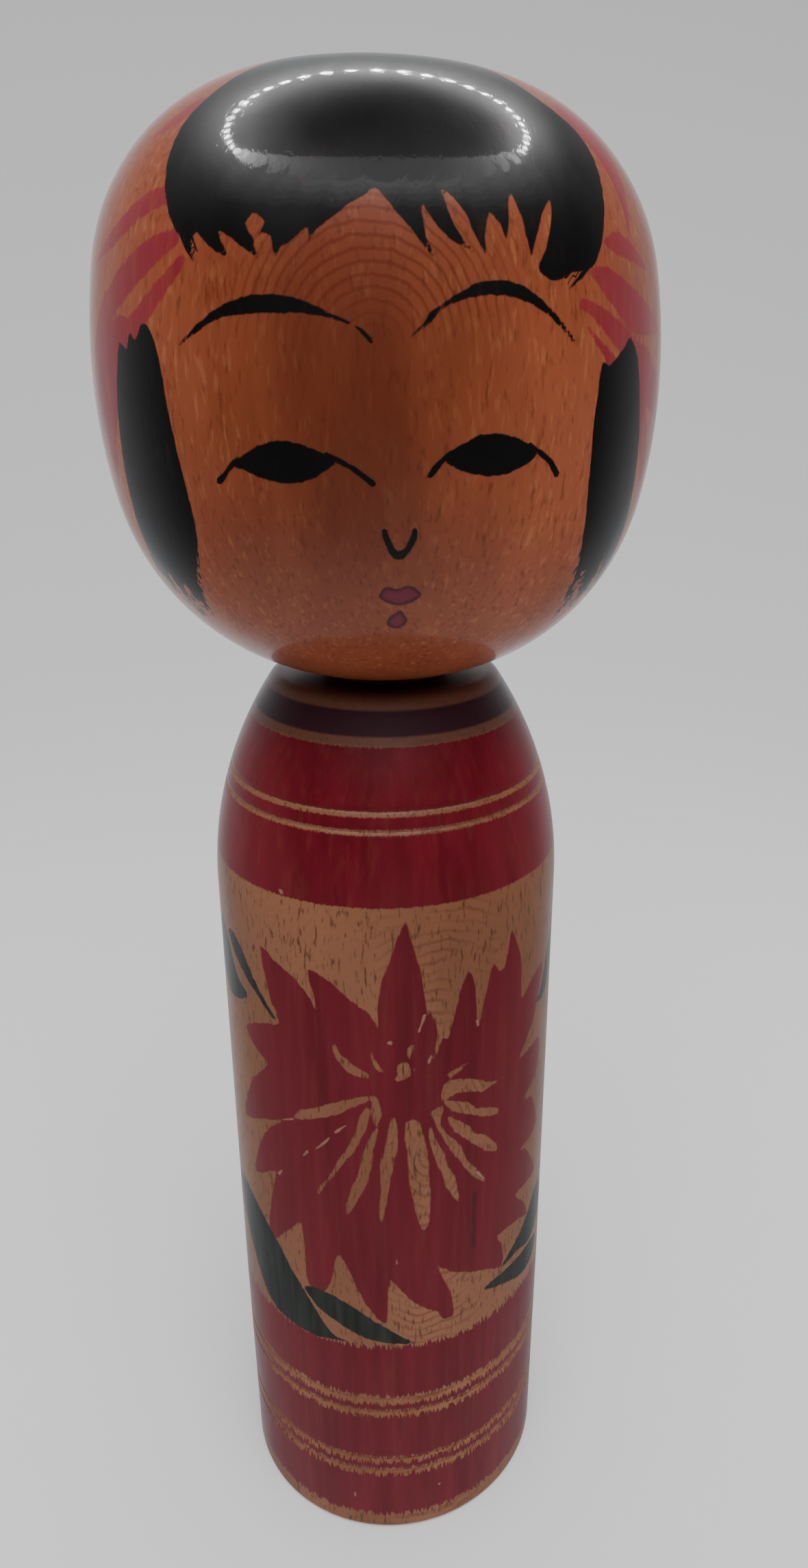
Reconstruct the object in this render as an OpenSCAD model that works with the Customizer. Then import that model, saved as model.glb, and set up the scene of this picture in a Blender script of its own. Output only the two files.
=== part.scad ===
// Kokeshi: a turned wooden doll in two pieces, a cylinder body and a round head
// whose tenon turns in a blind socket in the top of the body.
// Millimetres, +Z up, the base on z = 0, the doll's axis on x = y = 0, its front towards -Y.

/* [Body] */

// Height of the body, base to the flat the head sits on
body_height = 120.7; // [80:0.1:200]

// Diameter of the straight part of the body
body_diameter = 42.7; // [28:0.1:70]

// How much smaller in diameter the body is at its base
base_taper = 0.5; // [0:0.1:3]

// Height at which the taper from the base has run out
taper_height = 32; // [10:0.5:60]

// How far below the top the straight side starts to round over
shoulder_height = 26.2; // [10:0.1:50]

// Radius of the arc that rounds the shoulder
shoulder_radius = 46; // [30:0.5:90]

// Radius that breaks the rim between the shoulder and the top flat
rim_radius = 1.5; // [0.5:0.1:4]

// Chamfer round the base
base_chamfer = 0.5; // [0.2:0.1:2]

/* [Turned lines] */

// Depth of each line scraped in with the corner of the chisel
line_depth = 0.15; // [0.05:0.01:0.5]

// Width of each line round the foot
foot_line_width = 0.8; // [0.3:0.05:1.6]

// Height of the lower pair of foot lines, middle of the pair
lower_pair_height = 12.6; // [5:0.1:20]

// Height of the upper pair of foot lines, middle of the pair
upper_pair_height = 24; // [15:0.1:40]

// Distance between the two lines of a foot pair
foot_pair_pitch = 2.4; // [1:0.1:5]

// Width of each line round the shoulder
shoulder_line_width = 0.6; // [0.3:0.05:1.2]

// How far below the top of the body the shoulder pair lies, middle of the pair
shoulder_pair_drop = 12.15; // [4:0.05:24]

// Distance between the two shoulder lines
shoulder_pair_pitch = 2.1; // [1:0.1:5]

/* [Head] */

// Largest width of the head
head_width = 60; // [36:0.1:100]

// Height of the head from its underside to its widest line
jaw_height = 32; // [20:0.05:50]

// Height of the head from its widest line to the crown
crown_height = 29.05; // [18:0.05:50]

// Radius of the gentle arc over the crown
crown_radius = 61.9; // [45:0.1:200]

// Radius of the round between the crown and the temples
temple_radius = 21.3; // [10:0.1:40]

// Radius of the side from the temples down to the widest line
upper_side_radius = 60.3; // [45:0.1:200]

// Radius of the side from the widest line down to the jaw
lower_side_radius = 55.2; // [45:0.1:200]

// Radius of the round of the jaw
jaw_radius = 25.6; // [10:0.1:40]

// Radius of the nearly flat underside
underside_radius = 122; // [60:0.5:300]

/* [Neck joint] */

// Diameter of the tenon where it turns in the mouth of the socket
tenon_diameter = 15; // [8:0.1:24]

// Running clearance all round the tenon in the mouth of the socket
running_clearance = 0.06; // [0.02:0.01:0.1]

// How much the tenon's end swells past its neck, on the radius, to hold the head on
bulb_swell = 0.6; // [0.3:0.05:1.2]

// Length of the tenon below the head
tenon_length = 13.4; // [8:0.1:24]

// Height of the mouth of the socket, the part the tenon turns in
mouth_height = 3.5; // [2:0.1:8]

// Clearance between the swollen end and the pocket, and under the mouth
pocket_clearance = 0.3; // [0.1:0.05:1]

// Clearance between the end of the tenon and the floor of the socket
floor_clearance = 0.9; // [0.3:0.1:3]

// Clearance between the head's underside and the top of the body
seat_clearance = 0.25; // [0.1:0.05:1]

// Chamfer at the mouth of the socket and at the tenon's end
lead_chamfer = 0.5; // [0.2:0.1:1.5]

/* [Hidden] */

$fn = 180;

// How far a round stands proud of the arcs it joins
lap = 0.002;

body_r = body_diameter / 2;
base_r = body_r - base_taper / 2;
shoulder_z = body_height - shoulder_height;
shoulder_cx = body_r - shoulder_radius;

tenon_r = tenon_diameter / 2;
mouth_r = tenon_r + running_clearance;
bulb_r = tenon_r + bulb_swell;
pocket_r = bulb_r + pocket_clearance;

head_z = body_height + seat_clearance;
half_width = head_width / 2;
widest_z = head_z + jaw_height;

tenon_end_z = head_z - tenon_length;
floor_z = tenon_end_z - floor_clearance;
mouth_z = body_height - mouth_height;
bulb_z = mouth_z - pocket_clearance;

// Radius of the body at height z, below the rim
function side_r(z) =
    z < taper_height ? base_r + (body_r - base_r) * z / taper_height
    : z < shoulder_z ? body_r
    : shoulder_cx + sqrt(pow(shoulder_radius, 2) - pow(z - shoulder_z, 2));

// How far the side leans in at height z, in degrees
function side_tilt(z) = z < shoulder_z ? 0 : asin((z - shoulder_z) / shoulder_radius);

// Centre of the small circle of radius r that touches, from inside, two circles
// of radius ra round a and rb round b; the one to the left of the line from a to b
function inner_centre(a, ra, b, rb, r) =
    let (d = norm(b - a), u = (b - a) / d,
         x = (pow(ra - r, 2) - pow(rb - r, 2) + d * d) / (2 * d),
         h = sqrt(max(pow(ra - r, 2) - x * x, 0)))
    a + u * x + [-u[1], u[0]] * h;

// The wedge from p that spans the directions away from a and away from b
module wedge(p, a, b, reach) {
    da = (p - a) / norm(p - a) * reach;
    db = (p - b) / norm(p - b) * reach;
    polygon([p, p + da, p + da + db, p + db]);
}

// Takes off the corner where the arcs round a and b cross, and puts there a round of
// radius r about p that stands a hair proud of both, so that they meet in a clean edge.
// The round is kept inside size, the box from the origin that the outline fills
module soften(p, r, a, b, size, from = [0, 0]) {
    difference() {
        children();
        wedge(p, a, b, norm(size));
    }
    intersection() {
        translate(p) circle(r + lap);
        translate(from) square(size);
    }
}

// Outline of the head above its widest line: side arc, corner round and end arc.
// The round can be no larger than the head leaves room for
module half_head(h, side_radius, corner_radius, end_radius) {
    a = [half_width - side_radius, 0];
    b = [0, h - end_radius];
    r = min(corner_radius, 0.88 * min(h, half_width));
    p = inner_centre(a, side_radius, b, end_radius, r);
    size = [half_width + 1, h + 1];
    soften(p, r, a, b, size)
        intersection() {
            translate(a) circle(side_radius);
            translate(b) circle(end_radius);
            square(size);
        }
}

module head_outline() {
    translate([0, widest_z]) {
        translate([0, -jaw_height / 2]) square([half_width / 2, (jaw_height + crown_height) / 2]);
        half_head(crown_height, upper_side_radius, temple_radius, crown_radius);
        mirror([0, 1]) half_head(jaw_height, lower_side_radius, jaw_radius, underside_radius);
    }
}

// The tenon is turned in one with the head, and reaches a little way up into it
module tenon_outline() {
    polygon([
        [0, head_z + 3],
        [tenon_r, head_z + 3],
        [tenon_r, bulb_z],
        [bulb_r, bulb_z - bulb_swell],
        [bulb_r, tenon_end_z + lead_chamfer],
        [bulb_r - lead_chamfer, tenon_end_z],
        [0, tenon_end_z]
    ]);
}

module shoulder_outline() {
    a = [shoulder_cx, shoulder_z];
    z = body_height - rim_radius;
    x = shoulder_cx + sqrt(pow(shoulder_radius - rim_radius, 2) - pow(z - shoulder_z, 2));
    from = [0, shoulder_z];
    size = [body_r + 1, shoulder_height];
    soften([x, z - lap], rim_radius, a, [x, 0], size, from)
        intersection() {
            translate(a) circle(shoulder_radius);
            translate(from) square(size);
        }
}

module body_outline() {
    polygon([
        [0, 0],
        [base_r - base_chamfer, 0],
        [side_r(base_chamfer), base_chamfer],
        [body_r, taper_height],
        [body_r, shoulder_z],
        [0, shoulder_z]
    ]);
    shoulder_outline();
}

// The hollow for the tenon: a lead-in, the mouth it turns in, and the undercut pocket
module socket_outline() {
    polygon([
        [0, body_height + 1],
        [mouth_r + lead_chamfer + 1, body_height + 1],
        [mouth_r, body_height - lead_chamfer],
        [mouth_r, mouth_z],
        [pocket_r, mouth_z - (pocket_r - mouth_r)],
        [pocket_r, floor_z],
        [0, floor_z]
    ]);
}

// One scraped line: a shallow V cut square to the side at height z
module line_cut(z, width) {
    slope = width / 2 / line_depth;
    translate([side_r(z), z]) rotate(side_tilt(z))
        polygon([
            [-line_depth, 0],
            [1, -(1 + line_depth) * slope],
            [1, (1 + line_depth) * slope]
        ]);
}

module turned_lines() {
    for (s = [-0.5, 0.5]) {
        line_cut(lower_pair_height + s * foot_pair_pitch, foot_line_width);
        line_cut(upper_pair_height + s * foot_pair_pitch, foot_line_width);
        line_cut(body_height - shoulder_pair_drop + s * shoulder_pair_pitch, shoulder_line_width);
    }
}

// The body, with the blind socket in its top
module body() {
    color([0.72, 0.55, 0.38])
        rotate_extrude()
            difference() {
                body_outline();
                socket_outline();
                turned_lines();
            }
}

// The head and its tenon
module head() {
    color([0.62, 0.40, 0.24])
        union() {
            rotate_extrude() head_outline();
            rotate_extrude() tenon_outline();
        }
}

body();
head();
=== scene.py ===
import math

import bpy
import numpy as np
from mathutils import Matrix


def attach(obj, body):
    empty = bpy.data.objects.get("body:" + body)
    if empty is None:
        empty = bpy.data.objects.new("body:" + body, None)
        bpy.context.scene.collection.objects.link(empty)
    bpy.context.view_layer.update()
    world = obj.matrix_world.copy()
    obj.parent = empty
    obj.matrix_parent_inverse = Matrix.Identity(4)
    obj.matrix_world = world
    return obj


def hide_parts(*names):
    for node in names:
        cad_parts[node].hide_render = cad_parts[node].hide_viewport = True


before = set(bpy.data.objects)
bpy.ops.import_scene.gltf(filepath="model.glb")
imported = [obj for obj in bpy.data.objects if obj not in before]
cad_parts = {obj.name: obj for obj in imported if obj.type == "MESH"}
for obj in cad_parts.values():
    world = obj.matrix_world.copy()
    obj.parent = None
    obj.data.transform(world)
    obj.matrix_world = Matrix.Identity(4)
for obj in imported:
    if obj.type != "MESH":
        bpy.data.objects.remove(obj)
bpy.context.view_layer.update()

# %% [markdown]
# # A kokeshi doll
# A kokeshi is turned on a lathe as two pieces of wood, a body and a head, then painted with a soft
# brush and waxed. The lines above load the CAD model, which already fixes every size. All that is
# made below is in metres and in the same place, with the doll's front towards -Y.

MM = 0.001

# %% [markdown]
# ## The camera
# The doll is seen from close by and from about the height of its brows, so its head looks large and
# its body narrows towards the foot. That look comes from a short lens at a short distance, and not
# from the shape of the doll. The camera stands a few degrees to the doll's right.

# %% Place the camera
bpy.ops.object.camera_add(location=(-7.85 * MM, -128.43 * MM, 156.5 * MM))
camera = bpy.context.object
camera.name = "camera"
camera.rotation_euler = [math.radians(a) for a in (68.35, -0.56, -7.12)]
camera.data.lens = 25.39
camera.data.sensor_width = 36
camera.data.shift_x = -0.0328
camera.data.clip_start = 0.001
bpy.context.scene.camera = camera
print("camera at", tuple(camera.location))

# %% [markdown]
# ## Turning
# A piece off the lathe is one outline spun round an axis. The outline is drawn here as with pen and
# compasses: a line is an extruded corner, and an arc is a corner that Spin carries round the arc's
# centre. Then the whole outline is spun once round the doll's axis. The front of the doll is where
# the painting is, so the spin takes finer steps there than at the back.


# %% Draw an outline
def start_outline(name, x, z):
    """A new mesh of one corner, at x to the side of the axis and z up, in millimetres."""
    bpy.ops.object.select_all(action="DESELECT")
    bpy.ops.mesh.primitive_plane_add(size=0.001, location=(0, 0, 0))
    piece = bpy.context.object
    piece.name = piece.data.name = name
    bpy.ops.object.mode_set(mode="EDIT")
    bpy.ops.mesh.merge(type="CENTER")
    bpy.ops.transform.translate(value=(x * MM, 0, z * MM))
    return piece


def line_to(start, end, step):
    """Extrudes the selected corner in short steps from start to end."""
    pieces = max(1, round(math.dist(start, end) / step))
    dx, dz = ((b - a) / pieces * MM for a, b in zip(start, end))
    for _ in range(pieces):
        bpy.ops.mesh.extrude_region_move(TRANSFORM_OT_translate={"value": (dx, 0, dz)})
    return end


def arc_to(start, centre, end, step):
    """Spins the selected corner round centre, from start to end, the short way."""
    a = math.atan2(start[1] - centre[1], start[0] - centre[0])
    b = math.atan2(end[1] - centre[1], end[0] - centre[0])
    pieces = max(2, round(abs(b - a) * math.dist(start, centre) / step))
    bpy.ops.mesh.spin(steps=pieces, angle=b - a, center=(centre[0] * MM, 0, centre[1] * MM),
                      axis=(0, 1, 0))
    return end


# %% Spin the outline
FRONT = 150


def turn(piece, front_steps, back_steps):
    """Spins the outline round the axis, with the fine steps over the front, and returns it."""
    piece.update_from_editmode()
    outline = np.array([(corner.co.x, corner.co.z) for corner in piece.data.vertices]) / MM
    bpy.ops.mesh.select_all(action="SELECT")
    bpy.ops.transform.rotate(value=math.radians(90 - FRONT / 2), orient_axis="Z",
                             center_override=(0, 0, 0))
    for steps, degrees in ((front_steps, FRONT), (back_steps, 360 - FRONT)):
        bpy.ops.mesh.spin(steps=steps, angle=math.radians(degrees), center=(0, 0, 0),
                          axis=(0, 0, 1))
    bpy.ops.mesh.select_all(action="SELECT")
    bpy.ops.mesh.remove_doubles(threshold=0.004 * MM)
    bpy.ops.mesh.normals_make_consistent(inside=False)
    bpy.ops.object.mode_set(mode="OBJECT")
    bpy.ops.object.shade_smooth_by_angle(angle=math.radians(35))
    heights = [corner.co.z for corner in piece.data.vertices]
    print(piece.name, len(piece.data.polygons), "faces, from", min(heights), "to", max(heights))
    return outline


# %% [markdown]
# ## The tent
# The doll stands in a small photo tent of white cloth, whose floor sweeps up into its wall with no
# line between them. Two turned pieces do that: a flat floor, and one wide round that rises from its
# rim. They are a stage and not part of the doll. The wall is only there to be looked at, so it is
# kept out of the doll's light, and both are kept out of its reflections, which the world gives.


# %% Turn the floor and the wall
def plain_material(name, colour, roughness):
    """A new node material with one colour all over, and its shader."""
    made = bpy.data.materials.new(name)
    made.use_nodes = True
    shader = made.node_tree.nodes["Principled BSDF"]
    shader.inputs["Base Color"].default_value = (*colour, 1)
    shader.inputs["Roughness"].default_value = roughness
    return made, shader


tent_cloth = plain_material("tent_cloth", (0.86, 0.86, 0.87), 0.85)[0]
floor = start_outline("tent_floor", 0, 0)
line_to((0, 0), (250, 0), 50)
turn(floor, front_steps=40, back_steps=56)
wall = start_outline("tent_wall", 250, 0)
arc_to((250, 0), (250, 900), (1150, 900), 60)
turn(wall, front_steps=40, back_steps=56)
wall.visible_diffuse = wall.visible_shadow = False
floor.visible_glossy = wall.visible_glossy = False
for cloth_piece in (floor, wall):
    cloth_piece.data.materials.append(tent_cloth)

# %% [markdown]
# ## Building materials
# A material is a tree of small nodes. These few helpers add a node or a few of them and hand back the
# last one's output, so that a finish below reads like a recipe. All grain lies along the doll's
# height, because the block stood that way on the lathe: a noise that is squeezed sideways and long
# in Z gives the streaks of the wood, and the same streaks carry the paint.


# %% Small helpers for nodes
def feed(tree, slot, value):
    """Sets a socket to a number or colour, or links another node's output to it."""
    if isinstance(value, bpy.types.NodeSocket):
        tree.links.new(value, slot)
    else:
        slot.default_value = value


def maths(tree, operation, *values):
    """One Math node."""
    made = tree.nodes.new("ShaderNodeMath")
    made.operation = operation
    for slot, value in zip(made.inputs, values):
        feed(tree, slot, value)
    return made.outputs[0]


def layer(tree, name):
    """A vertex attribute of the mesh."""
    made = tree.nodes.new("ShaderNodeAttribute")
    made.attribute_name = name
    return made.outputs["Fac"]


def position(tree, axis):
    """Where a point lies along X, Y or Z, in millimetres."""
    coords = tree.nodes.new("ShaderNodeTexCoord")
    apart = tree.nodes.new("ShaderNodeSeparateXYZ")
    tree.links.new(coords.outputs["Object"], apart.inputs[0])
    return maths(tree, "MULTIPLY", apart.outputs[axis], 1000.0)


def off_centre(tree, middle):
    """How far a point lies to either side of an upright line at this X, in millimetres."""
    return maths(tree, "ABSOLUTE", maths(tree, "SUBTRACT", position(tree, "X"), middle))


def at_front(tree):
    """One over the front of the doll and nothing over its back."""
    return spread(tree, position(tree, "Y"), -12.0, 0.0, 1.0, 0.0)


def noise(tree, size, detail=2.0, shift=0.0):
    """Noise with blobs of about this size in millimetres, as (x, y, z)."""
    coords = tree.nodes.new("ShaderNodeTexCoord")
    place = tree.nodes.new("ShaderNodeMapping")
    place.inputs["Location"].default_value = (shift, shift, shift)
    place.inputs["Scale"].default_value = [0.5 / (s * MM) for s in size]
    tree.links.new(coords.outputs["Object"], place.inputs["Vector"])
    made = tree.nodes.new("ShaderNodeTexNoise")
    made.inputs["Scale"].default_value = 1
    made.inputs["Detail"].default_value = detail
    tree.links.new(place.outputs[0], made.inputs["Vector"])
    return made.outputs["Fac"]


def spread(tree, value, low, high, to_low=0.0, to_high=1.0):
    """Stretches a range of values to another, and holds it there."""
    made = tree.nodes.new("ShaderNodeMapRange")
    for slot, number in zip(made.inputs[1:5], (low, high, to_low, to_high)):
        slot.default_value = number
    feed(tree, made.inputs[0], value)
    return made.outputs[0]


def blend(tree, share, under, over):
    """Lays one colour over another."""
    made = tree.nodes.new("ShaderNodeMix")
    made.data_type = "RGBA"
    feed(tree, made.inputs[0], share)
    for slot, colour in ((made.inputs[6], under), (made.inputs[7], over)):
        feed(tree, slot, colour if isinstance(colour, bpy.types.NodeSocket) else (*colour, 1))
    return made.outputs[2]


def wobble(tree, depth, amount, size, shift=0.0):
    """Moves the edge of a painted shape to and fro by a noise, in millimetres."""
    sway = spread(tree, noise(tree, size, 3, shift), 0.25, 0.75, -amount, amount)
    return maths(tree, "ADD", depth, sway)


def mask(tree, depth, soft):
    """One inside a shape and nothing outside it, with an edge this soft in millimetres."""
    return spread(tree, depth, -soft, soft)


# %% [markdown]
# ## The lights
# Soft light falls through the cloth roof, a little from the front, and some comes back off the floor
# and off the two sides. The cloth is brightest behind the doll and dim towards the front, where the
# tent is open to a room, and in the middle of the roof. Glossy paint shows that: it stays deep on the
# face and goes pale at the sides. So the world gives the reflections, and four soft lamps, kept out
# of them, give the even light.

# %% Light the tent
world = bpy.data.worlds.new("tent")
bpy.context.scene.world = world
world.use_nodes = True
tree = world.node_tree
cloth = tree.nodes["Background"]
cloth.inputs["Strength"].default_value = 0.95
black, cool_white = (0.0, 0.0, 0.0), (0.96, 0.97, 1.0)
towards = tree.nodes.new("ShaderNodeTexCoord")
apart = tree.nodes.new("ShaderNodeSeparateXYZ")
tree.links.new(towards.outputs["Generated"], apart.inputs[0])
front_dim = spread(tree, apart.outputs["Y"], 0.02, 0.85, 0.04, 1.05)
roof_dim = spread(tree, apart.outputs["Z"], 0.20, 0.70, 1.0, 0.12)
side_dim = spread(tree, maths(tree, "ABSOLUTE", apart.outputs["X"]), 0.10, 0.60, 1.0, 0.58)
floor_glow = spread(tree, apart.outputs["Z"], -0.95, -0.30, 0.42, 0.0)
glow = maths(tree, "MULTIPLY", maths(tree, "MULTIPLY", front_dim, roof_dim), side_dim)
glow = maths(tree, "MAXIMUM", glow, floor_glow)
feed(tree, cloth.inputs["Color"], blend(tree, glow, black, cool_white))


# %% Hang the soft lamps
def hang_soft_lamp(name, kind, spot, tilt, energy):
    """A lamp that lights the doll and is never mirrored in it. tilt is its turn in degrees."""
    turns = [math.radians(a) for a in tilt]
    bpy.ops.object.light_add(type=kind, location=spot, rotation=turns)
    lamp = bpy.context.object
    lamp.name = name
    lamp.data.energy = energy
    lamp.visible_glossy = lamp.visible_camera = False
    return lamp


roof_light = hang_soft_lamp("roof_light", "SUN", (0, -0.3, 0.6), (32, 0, 0), 2.45)
roof_light.data.angle = math.radians(60)
bounce = hang_soft_lamp("light_off_the_floor", "AREA", (0, -0.22, 0.02), (116, 0, 0), 0.105)
bounce.data.size = 0.12
for name, side in (("side_light_left", -1), ("side_light_right", 1)):
    side_light = hang_soft_lamp(name, "AREA", (side * 0.3, -0.06, 0.07), (0, side * 90, 0), 0.16)
    side_light.data.size = 0.15
print("soft lamps hung round the doll")

# %% [markdown]
# ## The hoop on the crown
# A ring of little bulbs draws the bright hoop of dots on the glossy crown of the head. The bulbs
# towards the front are wider, and rows of wide faint ones outside them let the near side of the hoop
# fade out towards the fringe.

# %% Hang the ring of bulbs
LAMPS, RING_WIDE, RING_DEEP, RING_HEIGHT = 57, 0.141, 0.120, 0.35
RING_MIDDLE = -0.005
NEAR_ROWS = ((1.10, 0.85), (1.24, 0.60), (1.40, 0.35), (1.58, 0.16))


def hang_bulb(name, angle, away, size, energy):
    """One round bulb of the ring, or of a row outside it, this many times as far out."""
    sideways = RING_WIDE * away * math.sin(angle)
    forwards = RING_DEEP * away * math.cos(angle)
    bpy.ops.object.light_add(type="AREA", location=(sideways, RING_MIDDLE - forwards, RING_HEIGHT))
    bulb = bpy.context.object
    bulb.name = name
    bulb.data.shape = "DISK"
    bulb.data.size = size
    bulb.data.energy = energy
    return bulb


for lamp in range(LAMPS):
    angle = 2 * math.pi * lamp / LAMPS
    nearness = max(0, math.cos(angle))
    size = 0.0078 + 0.046 * nearness**0.7
    hang_bulb(f"ring_lamp_{lamp:02d}", angle, 1.0, size, 0.018 * (1 - 0.50 * nearness))
    if nearness < 0.2 or lamp % 2:
        continue
    for row, (away, share) in enumerate(NEAR_ROWS):
        glow_bulb = hang_bulb(f"glow_{row}_{lamp:02d}", angle, away, 0.055, 0.022 * share * nearness)
        glow_bulb.visible_diffuse = False
print(LAMPS, "bulbs in the ring and", len(NEAR_ROWS), "faint rows in front of it")

# %% [markdown]
# ## The head
# The head's outline is five arcs that flow into each other: the crown, the round of the temples,
# the side above and below its widest line, and the jaw. Each arc ends where the line through its own
# centre and its neighbour's centre meets it. The jaw heads for a nearly flat underside, but the
# tenon begins before that. It swells to a bulb that snaps into the body, and lets the head turn.


# %% Find where the head's arcs meet
def meeting_arcs(side, side_r, end, end_r, corner_r):
    """The centre of the round that joins a side arc and an end arc, and its two ends."""
    gap = math.dist(side, end)
    u = ((end[0] - side[0]) / gap, (end[1] - side[1]) / gap)
    along = ((side_r - corner_r) ** 2 - (end_r - corner_r) ** 2 + gap**2) / (2 * gap)
    out = math.sqrt((side_r - corner_r) ** 2 - along**2) * (1 if u[1] < 0 else -1)
    corner = (side[0] + u[0] * along - u[1] * out, side[1] + u[1] * along + u[0] * out)

    def touch(centre, radius):
        k = radius / math.dist(centre, corner)
        return tuple(c + (p - c) * k for c, p in zip(centre, corner))

    return corner, touch(side, side_r), touch(end, end_r)


# %% The head's sizes
HALF_WIDTH, WIDEST, CROWN, UNDERSIDE = 30.0, 152.95, 182.0, 120.95
CROWN_R, TEMPLE_R, UPPER_SIDE_R = 61.9, 21.3, 60.3
LOWER_SIDE_R, JAW_R, UNDERSIDE_R = 55.2, 25.6, 122.0
upper_side, crown = (HALF_WIDTH - UPPER_SIDE_R, WIDEST), (0.0, CROWN - CROWN_R)
temple, temple_low, temple_high = meeting_arcs(upper_side, UPPER_SIDE_R, crown, CROWN_R, TEMPLE_R)
lower_side, under = (HALF_WIDTH - LOWER_SIDE_R, WIDEST), (0.0, UNDERSIDE + UNDERSIDE_R)
jaw, jaw_high, _ = meeting_arcs(lower_side, LOWER_SIDE_R, under, UNDERSIDE_R, JAW_R)
print("temple round about", temple, "jaw round about", jaw)

# %% Turn the head
FINE = 0.34
TENON, BULB = 7.5, 8.1
jaw_end = (TENON, jaw[1] - math.sqrt(JAW_R**2 - (TENON - jaw[0]) ** 2))
head = start_outline("head_turned", 0, CROWN)
at = arc_to((0, CROWN), crown, temple_high, FINE)
at = arc_to(at, temple, temple_low, FINE)
at = arc_to(at, upper_side, (HALF_WIDTH, WIDEST), FINE)
at = arc_to(at, lower_side, jaw_high, FINE)
at = arc_to(at, jaw, jaw_end, FINE)
for corner in [(TENON, 116.9), (BULB, 116.3), (BULB, 108.05), (7.6, 107.55), (0, 107.55)]:
    at = line_to(at, corner, 9)
head_outline = turn(head, front_steps=224, back_steps=110)

# %% [markdown]
# ## The body
# The body is a post that narrows a hair towards its foot, with a wide round shoulder and a socket
# for the head. The turner scores fine lines while it still spins on the lathe: two pairs round the
# foot and one pair on the shoulder. A scored line is a V no deeper than a scratch, cut square to
# the surface, and the brush leaves it bare.

# %% The body's sizes
POST_R, FOOT_R = 21.35, 21.104
FOOT_CHAMFER, TAPER_TOP = 0.5, 32.0
SHOULDER_START, SHOULDER_R = 94.5, 46.0
BODY_TOP, TOP_ROUND = 120.7, (12.366, 119.198)
MOUTH_R, POCKET_R = 7.56, 8.4
FOOT_LINES, FOOT_HALF = (11.4, 13.8, 22.8, 25.2), 0.4
SHOULDER_LINES, SHOULDER_HALF = (107.5, 109.6), 0.3
SCORE = 0.15
shoulder = (POST_R - SHOULDER_R, SHOULDER_START)


def side_at(z):
    """How far out the post is at a height, between the foot and the shoulder."""
    return FOOT_R + (POST_R - FOOT_R) * min(1, (z - FOOT_CHAMFER) / (TAPER_TOP - FOOT_CHAMFER))


def shoulder_at(z, lift=0.0, along=0.0):
    """A point of the shoulder round at a height, moved out from it and along it."""
    tilt = math.asin((z - shoulder[1]) / SHOULDER_R) + along / SHOULDER_R
    reach = SHOULDER_R + lift
    return (shoulder[0] + reach * math.cos(tilt), shoulder[1] + reach * math.sin(tilt))


# %% Turn the body
body = start_outline("body_turned", 0, 0)
at = line_to((0, 0), (20.6, 0), 3)
at = line_to(at, (FOOT_R, FOOT_CHAMFER), 0.3)
for line in FOOT_LINES:
    at = line_to(at, (side_at(line - FOOT_HALF), line - FOOT_HALF), 0.4)
    at = line_to(at, (side_at(line) - SCORE, line), 0.2)
    at = line_to(at, (side_at(line + FOOT_HALF), line + FOOT_HALF), 0.2)
at = line_to(at, (POST_R, TAPER_TOP), 0.4)
at = line_to(at, (POST_R, SHOULDER_START), 0.4)
for line in SHOULDER_LINES:
    at = arc_to(at, shoulder, shoulder_at(line, along=-SHOULDER_HALF), 0.4)
    at = line_to(at, shoulder_at(line, lift=-SCORE), 0.2)
    at = line_to(at, shoulder_at(line, along=SHOULDER_HALF), 0.2)
at = arc_to(at, shoulder, (13.644, 119.987), 0.4)
at = arc_to(at, TOP_ROUND, (TOP_ROUND[0], BODY_TOP), 0.3)
at = line_to(at, (8.06, BODY_TOP), 3)
for corner in [(MOUTH_R, 120.2), (MOUTH_R, 117.2), (POCKET_R, 116.36), (POCKET_R, 106.65), (0, 106.65)]:
    at = line_to(at, corner, 3)
body_outline = turn(body, front_steps=155, back_steps=130)

# %% [markdown]
# ## Room for the painting
# A UV map lays a turned piece out flat, so that its finish can be baked to a picture for other
# programs. Unrolled like a label, with the heights as they run along the outline, nothing folds over.
# The front holds the painting, so it gets three quarters of the width, and what sits inside the neck
# gets only a thin strip.


# %% Unroll a piece
HIDDEN_SHARE = 0.15
MARGIN, FRONT_STARTS, FRONT_ENDS = 0.003, 0.125, 0.875
ON_AXIS = 0.01
SEAM = 179.9


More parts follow.
